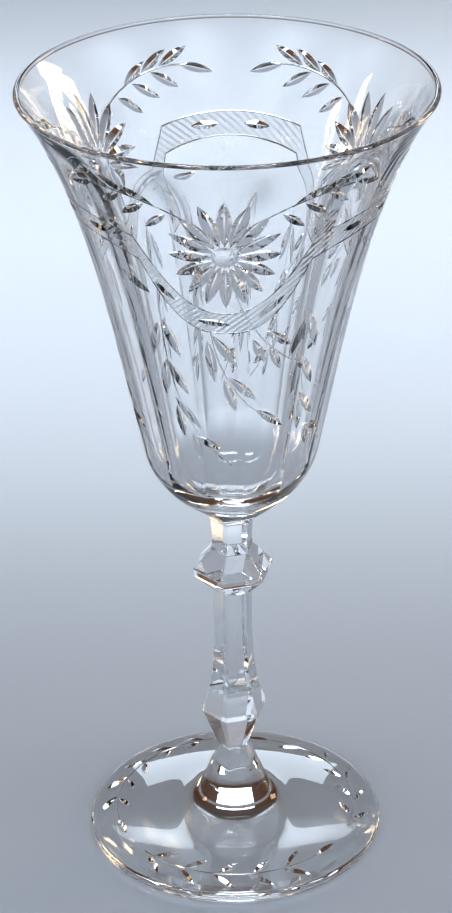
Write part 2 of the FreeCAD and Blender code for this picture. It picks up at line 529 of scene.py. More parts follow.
class CutBand:
    """Part of an outline turned round the axis, with cuts drawn on it and repeated in equal panels.

    Drawing coordinates are x = (heading - turn) * unit and y = (place - origin) * unit, where unit is
    the radius at the drawing's origin. The surface sinks along its own normal by depth * radius / unit,
    so a cut keeps its shape where the band narrows.
    """

    def __init__(self, curve, unit_height, turn, cuts, ribbons=()):
        self.wrap = Wrap(curve)
        self.origin = self.wrap.place_of_height(unit_height)
        self.unit = float(self.wrap.at(self.origin)[0]) / MM
        self.turn = turn
        self.cuts = cuts
        self.ribbons = ribbons
        self.width = PANEL_TURN * self.unit

    def surface(self, heading, place):
        radius, height, out, up = self.wrap.at(place)
        sunk = self.depth(self.drawn(heading, place)) / self.unit * radius
        return turned(heading, radius - out * sunk, height - up * sunk)

    def drawn(self, heading, place):
        return np.stack([(heading - self.turn) * self.unit, (place - self.origin) * self.unit], -1)

    def copies(self, points):
        """Each cut with the points near it, folded into the cut's own panel."""
        flat = points.reshape(-1, 2)
        folded = flat.copy()
        folded[:, 0] -= self.width * np.round(flat[:, 0] / self.width)
        for cut in self.cuts:
            outline = np.vstack(cut.lines())
            low, high = outline.min(0), outline.max(0)
            for side in (-1, 0, 1):
                shifted = folded + (side * self.width, 0)
                near = np.flatnonzero(((shifted > low) & (shifted < high)).all(1))
                if len(near):
                    yield cut, near, shifted[near]

    def depth(self, points):
        """Deepest of the cuts at each point, in drawing millimetres."""
        deepest = np.zeros(points.reshape(-1, 2).shape[0])
        for cut, near, place in self.copies(points):
            deepest[near] = np.maximum(deepest[near], cut.depth(place))
        return deepest.reshape(points.shape[:-1])

    def finish_of(self, points):
        """Slot at each point: polished, matt ribbon, or engraved line, whichever cut is deepest."""
        slot = np.full(len(points), POLISHED)
        folded = points[:, 0] - self.width * np.round(points[:, 0] / self.width)
        for low, high in self.ribbons:
            inside = (points[:, 1] > low(folded)) & (points[:, 1] < high(folded))
            slot[inside] = RIBBON
        deepest = np.zeros(len(points))
        for cut, near, place in self.copies(points):
            depth = cut.depth(place)
            wins = depth > deepest[near]
            deepest[near[wins]] = depth[wins]
            slot[near[wins]] = ENGRAVED if cut.frosted else POLISHED
        return slot

    def clearance(self, points):
        """Distance to the nearest cut, roughly: minus the depth inside it."""
        nearest = np.full(len(points), 9.0)
        folded = points[:, 0] - self.width * np.round(points[:, 0] / self.width)
        for cut in self.cuts:
            for side in (-1, 0, 1):
                place = np.stack([folded + side * self.width, points[:, 1]], -1)
                nearest = np.minimum(nearest, -cut.inside(place))
        return nearest

    def plan(self, points):
        """Flat ring on which one panel closes on itself: radius exp(n place), angle n heading."""
        angle = points[:, 0] / self.unit * PANELS
        reach = np.exp((points[:, 1] / self.unit + self.origin - self.wrap.end) * PANELS)
        return np.stack([reach * np.cos(angle), reach * np.sin(angle)], -1)

    def unplan(self, spots):
        angle = np.arctan2(spots[:, 1], spots[:, 0]) / PANELS
        place = np.log(np.hypot(spots[:, 0], spots[:, 1])) / PANELS + self.wrap.end
        return self.turn + angle, place

    def add_to(self, shell, low_headings, high_headings, spacing, gap):
        """Triangulates one panel with every line of its cuts as edges, and repeats it round the axis.

        Returns the lowest and the highest ring, in the order of the headings given for them.
        """
        share = len(low_headings) // PANELS
        top_share = len(high_headings) // PANELS
        rings = [self.drawn(low_headings[:share], np.zeros(share)),
                 self.drawn(high_headings[:top_share], np.full(top_share, self.wrap.end))]
        spots, edges = [], []
        count = 0
        for ring in rings:
            index = count + np.arange(len(ring))
            edges += list(zip(index.tolist(), np.roll(index, -1).tolist()))
            spots.append(ring)
            count += len(ring)
        for cut in self.cuts:
            for line in cut.lines():
                index = count + np.arange(len(line))
                edges += list(zip(index[:-1].tolist(), index[1:].tolist()))
                spots.append(line)
                count += len(line)
        rows = np.arange(rings[0][0, 1] + spacing, rings[1][0, 1] - spacing / 2, spacing * 0.866)
        columns = (np.arange(round(self.width / spacing)) + 0.25) * self.width / round(self.width / spacing)
        grid = np.stack(np.meshgrid(columns, rows), -1)
        grid[1::2, :, 0] += spacing / 2
        grid = grid.reshape(-1, 2)
        grid[:, 0] -= self.width / 2
        spots.append(grid[self.clearance(grid) > gap])
        flat = self.plan(np.vstack(spots))
        made = geometry.delaunay_2d_cdt([Vector(spot) for spot in flat.tolist()], edges, [], 0, 1e-9, True)
        corners = np.array([spot[:] for spot in made[0]], float)
        faces = np.array([face for face in made[2] if len(face) == 3])[:, ::-1]
        sources = np.full(len(flat), -1)
        for number, origins in enumerate(made[3]):
            sources[list(origins)] = number
        low_ring, high_ring = sources[:share], sources[share:share + top_share]
        in_hole = np.isin(faces, low_ring).all(1)
        faces = faces[~in_hole]

        heading, place = self.unplan(corners)
        place[low_ring], place[high_ring] = 0.0, self.wrap.end
        around = heading[faces]
        beyond = around < around.max(1, keepdims=True) - PANEL_TURN / 2
        corner_heading = around + beyond * PANEL_TURN
        corner_place = place[faces]
        middle = self.drawn(corner_heading.mean(1), corner_place.mean(1))
        slots = self.finish_of(middle)
        normals = stepped_normals(self.surface, corner_heading, corner_place, into=0.2)
        points, all_faces, all_normals, drawing = [], [], [], []
        total = len(corners)
        for panel in range(PANELS):
            turn = panel * PANEL_TURN
            points.append(self.surface(heading + turn, place))
            all_faces.append(faces + total * ((panel + beyond) % PANELS))
            cosine, sine = math.cos(turn), math.sin(turn)
            spin = np.array([[cosine, sine, 0], [-sine, cosine, 0], [0, 0, 1]])
            all_normals.append(normals @ spin)
            drawing.append(self.drawn(corner_heading + turn, corner_place))
        start = shell.add(np.vstack(points), np.vstack(all_faces), np.vstack(all_normals),
                          np.tile(slots, PANELS), np.vstack(drawing))
        return [start + ring for ring in (
            self.ring_order(low_headings, low_ring, heading, total),
            self.ring_order(high_headings, high_ring, heading, total))]

    def ring_order(self, headings, ring, heading, total):
        """Point numbers of a ring in all panels, in the order of its headings."""
        share = len(ring)
        offset = np.round((headings[:share] - heading[ring]) / PANEL_TURN).astype(int)
        return np.concatenate([ring + total * ((panel + offset) % PANELS) for panel in range(PANELS)])


# ---------------------------------------------------------------- drawings

def leaf(cutting, root, tip, share=1.0):
    return Leaf(root, tip, cutting.leaf_width / MM * share, math.tan(cutting.groove_angle))


def stem_line(cutting, points):
    return Groove(bent(points), cutting.stem_width / MM, math.tan(cutting.groove_angle))


def flower(cutting):
    """Petals round an ellipse, each a leaf from the centre outwards, and a round hollow."""
    cuts = []
    start = cutting.centre_radius / MM
    for petal in range(cutting.petals):
        turn = FULL_TURN * petal / cutting.petals
        way = np.array([math.sin(turn), math.cos(turn)])
        tip = way * (cutting.flower_width / MM, cutting.flower_reach / MM)
        root = way * start * (0.9, 1.0)
        cuts.append(Leaf(root, tip, cutting.petal_width / MM, math.tan(cutting.groove_angle)))
    cuts.append(Dish((0, 0), start, 0.32))
    return cuts


RIBBON_HALF = 18.6     # half the width of a festoon, in drawing millimetres
LEVEL_HALF = 15.1      # half the width of the level ribbon between two festoons


def festoon_low(x):
    return -21.5 + 18.7 * (np.abs(x) / RIBBON_HALF) ** 2.8


def festoon_high(x):
    return -15.7 + 18.5 * (np.abs(x) / RIBBON_HALF) ** 2.3


def level_low(x, half_panel):
    away = (half_panel - np.abs(x)) / LEVEL_HALF
    return -0.2 - 2.8 * away ** 2


def level_high(x, half_panel):
    away = (half_panel - np.abs(x)) / LEVEL_HALF
    return 4.8 - 2.0 * away ** 2


def ribbon_lines(cutting, half_panel):
    """Thin lines along both edges of the festoon and of the level ribbon."""
    festoon = np.linspace(-RIBBON_HALF, RIBBON_HALF, 33)
    level = np.linspace(RIBBON_HALF, 2 * half_panel - RIBBON_HALF, 27)
    folded = half_panel - np.abs(level - half_panel)
    slope = math.tan(cutting.groove_angle)
    width = cutting.stem_width / MM
    lines = [(festoon, festoon_low(festoon)), (festoon, festoon_high(festoon)),
             (level, level_low(folded, half_panel)), (level, level_high(folded, half_panel))]
    return [Groove(np.stack(line, -1), width, slope) for line in lines]


def ribbon_regions(half_panel):
    def in_festoon(low, high):
        """Keeps an edge pair only under the flower, and crosses it over elsewhere."""
        def first(x):
            return np.where(np.abs(x) <= RIBBON_HALF, low(x), 1e3)
        return first, high

    def in_level():
        def first(x):
            return np.where(np.abs(x) > RIBBON_HALF, level_low(x, half_panel), 1e3)

        def second(x):
            return level_high(x, half_panel)
        return first, second

    return [in_festoon(festoon_low, festoon_high), in_level()]


def ribbon_notches(cutting, half_panel):
    """Bright lens cuts spaced along the ribbon."""
    ends = [((-7.0, -17.8), (1.0, -19.0)), ((7.3, -17.3), (13.3, -11.5)), ((-15.9, -8.1), (-11.6, -12.7)),
            ((half_panel - 8.6, 1.9), (half_panel - 2.6, 2.2)),
            ((half_panel + 2.6, 2.2), (half_panel + 8.6, 1.9))]
    return [leaf(cutting, root, tip, 0.62) for root, tip in ends]


def garland(cutting, side):
    """Spray that climbs from beside the flower: a stem, leaves on both sides and one at its end."""
    stem = [(6.9, 9.0), (10.4, 11.4), (15.5, 13.8), (21.0, 14.4), (24.3, 14.0)]
    under = [((10.2, 10.2), (15.0, 6.2)), ((14.0, 12.0), (19.4, 8.4)), ((18.3, 13.4), (23.6, 9.9))]
    over = [((12.2, 12.1), (17.6, 15.5)), ((16.4, 13.5), (21.9, 17.0)), ((20.2, 14.2), (25.8, 17.2))]
    last = [((24.0, 14.1), (30.2, 12.3))]
    turned_over = (side, 1)
    cuts = [stem_line(cutting, np.array(stem) * turned_over)]
    for root, tip in under + over + last:
        cuts.append(leaf(cutting, np.multiply(root, turned_over), np.multiply(tip, turned_over), 0.6))
    return cuts


def lower_sprays(cutting):
    """Two sprays that hang from the festoon, under the flower and to its right."""
    cuts = [stem_line(cutting, [(-3.8, -21.1), (-3.2, -29.5), (-0.6, -37.0), (3.0, -43.5), (8.2, -48.2)]),
            stem_line(cutting, [(2.3, -10.2), (4.0, -17.0), (8.0, -24.5), (13.0, -29.0), (18.0, -32.7)])]
    large = [((-4.8, -23.7), (-3.4, -37.6)), ((-3.4, -22.4), (2.7, -32.4)), ((-1.0, -36.6), (2.3, -48.0)),
             ((0.4, -35.8), (8.0, -44.2)), ((8.2, -47.9), (17.2, -55.6))]
    small = [((6.4, -23.8), (9.7, -31.4)), ((9.4, -21.5), (17.0, -27.4)), ((10.8, -26.6), (14.4, -34.6)),
             ((18.0, -32.8), (24.6, -37.4))]
    cuts += [leaf(cutting, root, tip) for root, tip in large]
    cuts += [leaf(cutting, root, tip, 0.85) for root, tip in small]
    return cuts


def pendant(cutting):
    """Long spray that hangs from the point between a festoon and the level ribbon, on both sides."""
    stem = [(-16.0, -16.6), (-16.9, -29.0), (-16.8, -41.0), (-13.0, -54.0), (-8.5, -61.0), (0.6, -69.2)]
    leaves = [((-16.0, -19.0), (-12.2, -30.6)), ((-17.3, -20.5), (-20.6, -31.5)),
              ((-16.6, -31.7), (-11.2, -43.0)), ((-17.4, -33.0), (-18.4, -44.6)),
              ((-15.6, -44.8), (-8.4, -55.0)), ((-15.4, -47.4), (-14.0, -59.2)),
              ((-10.2, -58.4), (-2.4, -62.8)), ((-11.2, -57.4), (-8.8, -67.2))]
    cuts = []
    for shift in (0.0, 2 * RIBBON_HALF):
        cuts.append(stem_line(cutting, moved(stem, (shift, 0))))
        cuts += [leaf(cutting, moved(root, (shift, 0)), moved(tip, (shift, 0))) for root, tip in leaves]
    cuts.append(leaf(cutting, (-25.2, -7.5), (-17.6, -12.0), 0.9))
    return cuts


# ---------------------------------------------------------------- materials

def plain_input(shader, **values):
    for name, value in values.items():
        shader.inputs[name.replace("_", " ")].default_value = value


def join(tree, source, target):
    tree.links.new(source, target)


def handling_group():
    """Node group: faint smears and dust, and the slow waviness of hand-made glass."""
    group = bpy.data.node_groups.new("handling marks", "ShaderNodeTree")
    interface = group.interface
    interface.new_socket("Scale", in_out="INPUT", socket_type="NodeSocketFloat").default_value = 60.0
    interface.new_socket("Smear", in_out="OUTPUT", socket_type="NodeSocketFloat")
    interface.new_socket("Waviness", in_out="OUTPUT", socket_type="NodeSocketFloat")
    start = group.nodes.new("NodeGroupInput")
    end = group.nodes.new("NodeGroupOutput")
    place = group.nodes.new("ShaderNodeTexCoord")
    smear = group.nodes.new("ShaderNodeTexNoise")
    plain_input(smear, Detail=6.0, Roughness=0.6, Distortion=0.8)
    spread = group.nodes.new("ShaderNodeMapRange")
    plain_input(spread, From_Min=0.52, From_Max=0.78)
    wave = group.nodes.new("ShaderNodeTexNoise")
    plain_input(wave, Scale=45.0, Detail=1.0, Roughness=0.4)
    join(group, place.outputs["Object"], smear.inputs["Vector"])
    join(group, place.outputs["Object"], wave.inputs["Vector"])
    join(group, start.outputs["Scale"], smear.inputs["Scale"])
    join(group, smear.outputs["Fac"], spread.inputs["Value"])
    join(group, spread.outputs["Result"], end.inputs["Smear"])
    join(group, wave.outputs["Fac"], end.inputs["Waviness"])
    return group


def glass_material(name, finish, marks, roughness, smear_roughness, bump, hatch=0.0):
    """Clear glass: smears roughen and dull it a little, and a faint waviness bends what shows through.

    hatch above zero adds fine slanted strokes that follow the drawing on the piece.
    """
    material = bpy.data.materials.new(name)
    material.use_nodes = True
    tree = material.node_tree
    shader = tree.nodes["Principled BSDF"]
    plain_input(shader, IOR=finish.bend, Transmission_Weight=1.0, Metallic=0.0)
    mark = tree.nodes.new("ShaderNodeGroup")
    mark.node_tree = marks
    rough = tree.nodes.new("ShaderNodeMapRange")
    plain_input(rough, To_Min=roughness, To_Max=smear_roughness)
    tone = tree.nodes.new("ShaderNodeMix")
    tone.data_type = "RGBA"
    tone.inputs["A"].default_value = tuple(finish.tint) + (1.0,)
    tone.inputs["B"].default_value = tuple(0.965 * value for value in finish.tint) + (1.0,)
    relief = tree.nodes.new("ShaderNodeBump")
    plain_input(relief, Strength=bump, Distance=0.0004)
    join(tree, mark.outputs["Smear"], rough.inputs["Value"])
    join(tree, mark.outputs["Smear"], tone.inputs["Factor"])
    join(tree, tone.outputs["Result"], shader.inputs["Base Color"])
    join(tree, rough.outputs["Result"], shader.inputs["Roughness"])
    if hatch:
        drawing = tree.nodes.new("ShaderNodeUVMap")
        drawing.uv_map = "drawing"
        slant = tree.nodes.new("ShaderNodeMapping")
        slant.inputs["Rotation"].default_value = (0.0, 0.0, 50 * DEG)
        strokes = tree.nodes.new("ShaderNodeTexWave")
        plain_input(strokes, Scale=0.26, Distortion=1.2, Detail=2.0, Detail_Scale=1.5)
        deep = tree.nodes.new("ShaderNodeMath")
        deep.operation = "MULTIPLY"
        deep.inputs[1].default_value = hatch
        total = tree.nodes.new("ShaderNodeMath")
        join(tree, drawing.outputs["UV"], slant.inputs["Vector"])
        join(tree, slant.outputs["Vector"], strokes.inputs["Vector"])
        join(tree, strokes.outputs["Fac"], deep.inputs[0])
        join(tree, deep.outputs["Value"], total.inputs[0])
        join(tree, mark.outputs["Waviness"], total.inputs[1])
        join(tree, total.outputs["Value"], relief.inputs["Height"])
    else:
        join(tree, mark.outputs["Waviness"], relief.inputs["Height"])
    join(tree, relief.outputs["Normal"], shader.inputs["Normal"])
    let_lamps_through(tree, shader, finish.tint)
    return material


def let_lamps_through(tree, shader, tint):
    """Glass that casts almost no shadow, because it bends the lamps' light instead of stopping it."""
    ray = tree.nodes.new("ShaderNodeLightPath")
    clear = tree.nodes.new("ShaderNodeBsdfTransparent")
    clear.inputs["Color"].default_value = tuple(0.62 * value for value in tint) + (1.0,)
    either = tree.nodes.new("ShaderNodeMixShader")
    join(tree, ray.outputs["Is Shadow Ray"], either.inputs["Fac"])
    join(tree, shader.outputs["BSDF"], either.inputs[1])
    join(tree, clear.outputs["BSDF"], either.inputs[2])
    join(tree, either.outputs["Shader"], tree.nodes["Material Output"].inputs["Surface"])


def fused_material():
    """Where two gathers are joined hot: light passes as if nothing were there."""
    material = bpy.data.materials.new("fused joint")
    material.use_nodes = True
    tree = material.node_tree
    tree.nodes.remove(tree.nodes["Principled BSDF"])
    clear = tree.nodes.new("ShaderNodeBsdfTransparent")
    join(tree, clear.outputs["BSDF"], tree.nodes["Material Output"].inputs["Surface"])
    return material


def glass_set():
    """The four finishes in slot order, made once and shared by every piece."""
    names = ["polished crystal", "matt ribbon", "engraved line", "fused joint"]
    found = [bpy.data.materials.get(name) for name in names]
    if all(found):
        return found
    finish = bpy.context.scene.wine_glass_finish
    cutting = bpy.context.scene.wine_glass_cutting
    marks = handling_group()
    frost = cutting.frost_roughness
    return [glass_material(names[POLISHED], finish, marks, 0.0, 0.035, 0.012),
            glass_material(names[RIBBON], finish, marks, frost, frost + 0.1, 0.3, hatch=0.8),
            glass_material(names[ENGRAVED], finish, marks, frost, frost + 0.1, 0.05),
            fused_material()]


# ---------------------------------------------------------------- building the pieces

HEADINGS_FLAT, HEADINGS_CORNER = 24, 8


def stack(shell, headings, parts):
    """Strips one on another, each starting on the ring where the last ended."""
    first = last = None
    for surface, places in parts:
        low, high = shell.strip(surface, headings, places)
        if last is None:
            first = low
        else:
            shell.weld(last, low)
        last = high
    return first, last


def finish_piece(shell, node):
    piece = shell.mesh(f"crystal_{node}", glass_set())
    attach(piece, "root")
    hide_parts(node)
    return piece


def faceted(profile, stem, roundness=None):
    """Surface whose section is a rounded hexagon. roundness(height) goes from 0 to 1, a full circle."""
    def surface(heading, place):
        radius, height = np.moveaxis(profile.at(place), -1, 0)
        sided = six_sided(heading, radius, stem)
        if roundness is not None:
            share = roundness(height)
            sided = sided * (1 - share) + radius * share
        return turned(heading, sided, height)
    return surface


def smooth_step(value):
    value = np.clip(value, 0, 1)
    return value * value * (3 - 2 * value)


def end_face(shell, ring, headings, stem, outer, inner, height, downward):
    """Closes a six-sided end: a polished rim down to the joint's own size, then the joint itself."""
    normal = np.array([0.0, 0.0, -1.0 if downward else 1.0])
    if outer - inner > 0.02 * MM:
        def rim(heading, place):
            radius = six_sided(heading, inner + (outer - inner) * place, stem)
            return turned(heading, radius, height + 0 * place)
        low, high = shell.strip(rim, headings, np.array([0.0, 1.0]))
        if not downward:
            shell.faces[-1] = shell.faces[-1][:, ::-1]
        shell.normals[-1] = np.broadcast_to(normal, shell.normals[-1].shape)
        shell.weld(ring, high)
        ring = low
    shell.cap(ring, (0.0, 0.0, height), normal, FUSED)


def all_headings(stem):
    return facet_headings(stem, HEADINGS_FLAT, HEADINGS_CORNER)


def revolved(curve):
    """Round surface of an outline: the heading turns the outline's point round the axis."""
    def surface(heading, place):
        radius, height = np.moveaxis(curve.at(place), -1, 0)
        return turned(heading, radius, height)
    return surface


class Arc:
    """Part of a circle of (radius, height), from one angle to another, counted from outwards upwards."""

    def __init__(self, centre, size, start, end):
        self.centre, self.size, self.start, self.end = centre, size, start, end

    def at(self, t):
        angle = self.start + (self.end - self.start) * np.asarray(t, float)
        return np.stack([self.centre[0] + self.size * np.cos(angle),
                         self.centre[1] + self.size * np.sin(angle)], -1)


def build_bowl():
    """Round bottom with the stem's facets fading into it, cut side, rounded lip, ridged inside."""
    bowl = bpy.context.scene.wine_glass_bowl
    cutting = bpy.context.scene.wine_glass_cutting
    stem = bpy.context.scene.wine_glass_stem
    base, top = BOWL_LOW.z, BOWL_HIGH.z
    rim_radius = BOWL_HIGH.x
    shoulder_height = base + bowl.shoulder_rise
    lip_height = top - bowl.rim_wall / 2
    reach = 0.3 * (lip_height - shoulder_height)
    inner_radius = bowl.shoulder_radius - bowl.shoulder_wall
    inner_reach = 0.6 * (bowl.shoulder_rise - bowl.floor_thickness)

    side = Curve((bowl.shoulder_radius, shoulder_height), bowl.shoulder_angle, reach,
                 (rim_radius, lip_height), bowl.rim_angle, reach)
    bottom = Curve((stem.collar_top_radius, base), 0.0, 0.14 * bowl.shoulder_rise,
                   (bowl.shoulder_radius, shoulder_height), bowl.shoulder_angle, 0.6 * bowl.shoulder_rise)
    lip = Arc((rim_radius - bowl.rim_wall / 2, lip_height), bowl.rim_wall / 2, 0.0, math.pi)
    inner_side = Curve((rim_radius - bowl.rim_wall, lip_height), bowl.rim_angle + math.pi, reach,
                       (inner_radius, shoulder_height), bowl.shoulder_angle + math.pi, reach)
    inner_bottom = Curve((inner_radius, shoulder_height), bowl.shoulder_angle + math.pi, inner_reach,
                         (0.0, base + bowl.floor_thickness), -90 * DEG, 0.6 * inner_radius)

    band = CutBand(side, cutting.flower_height, cutting.flower_turn, [])
    half_panel = band.width / 2
    band.cuts = (flower(cutting) + ribbon_lines(cutting, half_panel) + ribbon_notches(cutting, half_panel)
                 + garland(cutting, 1) + garland(cutting, -1) + lower_sprays(cutting)
                 + pendant(cutting))
    band.ribbons = ribbon_regions(half_panel)

    def roundness(height):
        return smooth_step((height - base) / bowl.facet_rise)

    def ridged(curve, start_fade, end_fade):
        """Sinks the inside between soft upright ridges. The ridges fade at the lip and the floor."""
        def surface(heading, place):
            radius, height = np.moveaxis(curve.at(place), -1, 0)
            wave = np.abs(np.sin(bowl.optic_panels * (heading - bowl.optic_turn) / 2))
            fade = smooth_step(start_fade(height)) * smooth_step(end_fade(height))
            return turned(heading, radius * (1 - bowl.optic_share * (1 - wave) * fade), height)
        return surface

    def below_lip(height):
        return (lip_height - height) / (14 * MM)

    def above_floor(height):
        return (height - base - bowl.floor_thickness) / (12 * MM)

    headings = all_headings(stem)
    shell = Shell()
    low_ring, low_end = stack(shell, headings, [
        (faceted(bottom, stem, roundness), np.linspace(0, 1, 40) ** 1.3)])
    cut_low, cut_high = band.add_to(shell, headings, headings, 1.4, 0.45)
    shell.weld(low_end, cut_low)
    lip_low, floor_ring = stack(shell, headings, [
        (revolved(lip), np.linspace(0, 1, 13)),
        (ridged(inner_side, below_lip, above_floor), np.linspace(0, 1, 90)),
        (ridged(inner_bottom, below_lip, above_floor), 1 - np.linspace(1, 0.12, 26) ** 1.4)])
    shell.weld(cut_high, lip_low)
    shell.cap(floor_ring, (0.0, 0.0, base + bowl.floor_thickness), np.array([0.0, 0.0, 1.0]), POLISHED)
    end_face(shell, low_ring, headings, stem, stem.collar_top_radius, stem.collar_top_radius, base, True)
    return finish_piece(shell, "bowl")


def build_collar():
    """Short six-sided neck, a little narrower at its waist."""
    stem = bpy.context.scene.wine_glass_stem
    low, high = COLLAR_LOW.z, COLLAR_HIGH.z
    outline = Curve((stem.collar_waist_radius, low), 0.0, 0.45 * (high - low),
                    (stem.collar_top_radius, high), 6 * DEG, 0.3 * (high - low))
    headings = all_headings(stem)
    shell = Shell()
    first, last = stack(shell, headings, [(faceted(outline, stem), np.linspace(0, 1, 14))])
    end_face(shell, first, headings, stem, stem.collar_waist_radius, stem.collar_waist_radius, low, True)
    end_face(shell, last, headings, stem, stem.collar_top_radius, stem.collar_top_radius, high, False)
    return finish_piece(shell, "stem_collar")


def build_knop():
    """Two six-sided cones end to end, with an upright belt between them."""
    stem = bpy.context.scene.wine_glass_stem
    low, high = KNOP_LOW.z, KNOP_HIGH.z
    belt_low = (low + high - stem.knop_belt) / 2
    bottom_radius = stem.shaft_top_radius + stem.knop_step
    top_radius = stem.collar_waist_radius + stem.knop_step
    outline = Eased([(bottom_radius, low), (stem.knop_radius, belt_low),
                     (stem.knop_radius, belt_low + stem.knop_belt), (top_radius, high)], 0.22 * MM)
    headings = all_headings(stem)
    shell = Shell()
    first, last = stack(shell, headings, [(faceted(outline, stem), outline.places)])
    end_face(shell, first, headings, stem, bottom_radius, stem.shaft_top_radius, low, True)
    end_face(shell, last, headings, stem, top_radius, stem.collar_waist_radius, high, False)
    return finish_piece(shell, "knop")


def build_shaft():
    """Six-sided baluster: a thin neck, a bulb low down with a narrow band, then a long taper."""
    stem = bpy.context.scene.wine_glass_stem
    low, high = SHAFT_LOW.z, SHAFT_HIGH.z
    band_low = low + stem.bulb_rise - stem.bulb_band / 2
    band_high = band_low + stem.bulb_band
    taper = high - band_high
    shaft = Curve((stem.bulb_radius, band_high), -stem.swell_angle, taper / 4,
                  (stem.shaft_top_radius, high), 0.0, taper / 2)
    start = 0.012
    above = shaft.at(start)
    bulb = Eased([(stem.shaft_foot_radius, low), (stem.bulb_radius, band_low),
                  (stem.bulb_radius, band_high), tuple(above)], 0.2 * MM)
    headings = all_headings(stem)
    shell = Shell()
    first, last = stack(shell, headings, [
        (faceted(bulb, stem), bulb.places),
        (faceted(shaft, stem), start + (1 - start) * np.linspace(0, 1, 40))])
    end_face(shell, first, headings, stem, stem.shaft_foot_radius, stem.shaft_foot_radius, low, True)
    end_face(shell, last, headings, stem, stem.shaft_top_radius, stem.shaft_top_radius, high, False)
    return finish_piece(shell, "stem_shaft")


def foot_spray(cutting_slope, foot, band_width):
    """Curved line of one panel with leaves on both sides of it, in drawing millimetres."""
    length, width = foot.leaf_length / MM, foot.leaf_width / MM
    half = band_width / 2
    cuts = []
    line_width, stagger, beside_line = 0.3, 1.2, 0.35
    lean = 34 * DEG
    line = np.linspace(-0.8 * half, 0.72 * half, 24)
    cuts.append(Groove(np.stack([line, 0 * line], -1), line_width, cutting_slope))
    for number in range(foot.leaf_pairs):
        root = -0.72 * half + number * 1.4 * half / foot.leaf_pairs
        for side in (-1, 1):
            away = np.array([math.cos(lean), side * math.sin(lean)])
            start = np.array([root + stagger * (side > 0), side * beside_line])
            cuts.append(Leaf(start, start + away * length, width, cutting_slope))
    end = np.array([0.73 * half, 0.0])
    cuts.append(Leaf(end, end + (length, 0.0), width, cutting_slope))
    return cuts


class Span:
    """Part of another curve, from one of its places to another."""

    def __init__(self, curve, start, end):
        self.curve, self.start, self.end = curve, start, end

    def at(self, t):
        return self.curve.at(self.start + (self.end - self.start) * np.asarray(t, float))


def build_foot():
    """Plate with a rounded edge and a slightly hollow underside, swept up to the stem, with cut sprays."""
    foot = bpy.context.scene.wine_glass_foot
    stem = bpy.context.scene.wine_glass_stem
    cutting = bpy.context.scene.wine_glass_cutting
    low, high = FOOT_LOW.z, FOOT_HIGH.z
    edge = foot.edge_thickness / 2
    plate_radius = FOOT_HIGH.x - edge
    ring_radius = FOOT_HIGH.x - foot.ring_width
    neck_radius = stem.shaft_foot_radius
    span = plate_radius - neck_radius
    top = Curve((plate_radius, low + foot.edge_thickness), foot.rim_angle - math.pi, foot.rim_pull * span,
                (neck_radius, high), foot.neck_angle - math.pi, foot.neck_pull * span)
    parting = 0.16      # share of the top, from its edge, that carries the leaves
    slope = math.tan(cutting.groove_angle)
    wreath_height = float(np.interp(-foot.wreath_radius, -top.at(np.linspace(0, 1, 400))[:, 0],
                                    top.at(np.linspace(0, 1, 400))[:, 1]))
    band = CutBand(Span(top, 0, parting), wreath_height, cutting.flower_turn, [])
    band.cuts = foot_spray(slope, foot, band.width)

    def roundness(height):
        return smooth_step((high - height) / (5 * MM))

    def underside(heading, place):
        """Falls from the hollow's top to the flat ring as the square of the radius."""
        return turned(heading, ring_radius * place, low + foot.hollow * (1 - place ** 2))

    def ring(heading, place):
        return turned(heading, ring_radius + (plate_radius - ring_radius) * place, low + 0 * place)

    headings = all_headings(stem)
    shell = Shell()
    rim = Arc((plate_radius, low + edge), edge, -math.pi / 2, math.pi / 2)
    rim_low, rim_high = stack(shell, headings, [(revolved(rim), np.linspace(0, 1, 15))])
    cut_low, cut_high = band.add_to(shell, headings, headings, 1.2, 0.4)
    shell.weld(rim_high, cut_low)
    sweep_low, neck = stack(shell, headings, [
        (faceted(top, stem, roundness), parting + (1 - parting) * np.linspace(0, 1, 60))])
    shell.weld(cut_high, sweep_low)
    end_face(shell, neck, headings, stem, neck_radius, neck_radius, high, False)
    base_start, base_end = stack(shell, headings, [
        (underside, np.linspace(0.05, 1, 24)), (ring, np.array([0.0, 1.0]))])
    shell.weld(rim_low, base_end)
    shell.cap(base_start, (0.0, 0.0, low + foot.hollow), np.array([0.0, 0.0, -1.0]), POLISHED)
    return finish_piece(shell, "foot")


FLOOR_HALF = 6.0            # metres from the floor's middle to its edge
FLOOR_DROP = 0.00005        # keeps the floor just clear of the foot
FAR_SIDE, NEAR_SIDE = 0.35, -0.5    # directions along +Y between which the dim side turns pale

# name, place, point it faces, width, height, watts (None: the key light's own setting), colour
LAMPS = (
    ("window", (0.0, 1.35, 0.50), (0.0, 0.1, 0.05), 0.7, 0.34, None, (0.80, 0.90, 1.0)),
    ("overhead", (0.0, 0.10, 1.20), (0.0, 0.0, 0.1), 0.5, 0.10, 1.5, (0.85, 0.93, 1.0)),
    ("lamp_right", (0.80, 0.50, 0.30), (0.0, 0.0, 0.09), 0.30, 0.28, 1.6, (1.0, 0.76, 0.50)),
    ("lamp_left", (-0.90, 0.10, 0.25), (0.0, 0.0, 0.09), 0.20, 0.18, 0.8, (1.0, 0.76, 0.50)),
)


